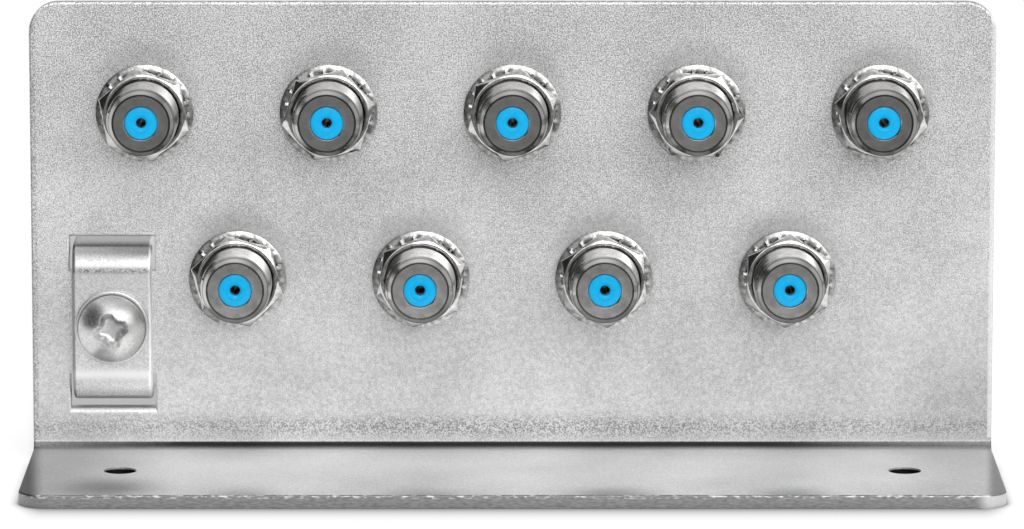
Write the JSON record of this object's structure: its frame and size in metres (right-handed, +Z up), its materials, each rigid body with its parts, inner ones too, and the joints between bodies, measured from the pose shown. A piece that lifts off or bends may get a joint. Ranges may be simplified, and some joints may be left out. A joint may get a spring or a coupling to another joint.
{
  "type": "coaxial grounding block",
  "caption": "Folded steel angle carrying two staggered rows of F couplers, with a screw-down earth wire strap at one end of the plate.",
  "frame": {"origin": "midway between the two fixing holes, on the underside of the foot", "axes": "+X along the block to the viewer's right, +Y from the front of the plate to its back, +Z up from the foot"},
  "size_m": [0.13, 0.0453, 0.0627],
  "materials": {
    "zinc_plated_sheet": "matt galvanised",
    "bright_zinc_strap": "bright zinc, satin",
    "zinc_plated_screw": "bright zinc, polished",
    "nickel_plated_brass": "bright nickel",
    "nickel_plated_nut": "bright nickel",
    "nickel_plated_washer": "bright nickel",
    "blue_insulator": "moulded, satin",
    "contact_brass": "plain"
  },
  "bodies": {
    "block": {"mounting_bracket": "zinc_plated_sheet", "coupler_body_1": "nickel_plated_brass", "front_insulator_1": "blue_insulator", "rear_insulator_1": "blue_insulator", "inner_contact_1": "contact_brass", "coupler_body_2": "nickel_plated_brass", "front_insulator_2": "blue_insulator", "rear_insulator_2": "blue_insulator", "inner_contact_2": "contact_brass", "coupler_body_3": "nickel_plated_brass", "front_insulator_3": "blue_insulator", "rear_insulator_3": "blue_insulator", "inner_contact_3": "contact_brass", "coupler_body_4": "nickel_plated_brass", "front_insulator_4": "blue_insulator", "rear_insulator_4": "blue_insulator", "inner_contact_4": "contact_brass", "coupler_body_5": "nickel_plated_brass", "front_insulator_5": "blue_insulator", "rear_insulator_5": "blue_insulator", "inner_contact_5": "contact_brass", "coupler_body_6": "nickel_plated_brass", "front_insulator_6": "blue_insulator", "rear_insulator_6": "blue_insulator", "inner_contact_6": "contact_brass", "coupler_body_7": "nickel_plated_brass", "front_insulator_7": "blue_insulator", "rear_insulator_7": "blue_insulator", "inner_contact_7": "contact_brass", "coupler_body_8": "nickel_plated_brass", "front_insulator_8": "blue_insulator", "rear_insulator_8": "blue_insulator", "inner_contact_8": "contact_brass", "coupler_body_9": "nickel_plated_brass", "front_insulator_9": "blue_insulator", "rear_insulator_9": "blue_insulator", "inner_contact_9": "contact_brass", "coupler_nuts": "nickel_plated_nut", "lock_washers": "nickel_plated_washer"},
    "clamp": {"clamp_strap": "bright_zinc_strap", "clamp_washer": "zinc_plated_screw"},
    "screw": {"clamp_screw": "zinc_plated_screw"}
  },
  "joints": [
    {"name": "clamp_slide", "type": "slide", "parent": "block", "child": "clamp", "axis": [0, -1, 0], "range_m": [0, 0.0045]},
    {"name": "screw_turn", "type": "hinge", "parent": "clamp", "child": "screw", "pos_m": [-0.0541, 0.0158, 0.01868], "axis": [0, -1, 0], "range_deg": [0, 2025]}
  ],
  "couplings": [
    {"joint": "screw_turn", "follows": "clamp_slide", "rad_per_m": 7854}
  ]
}
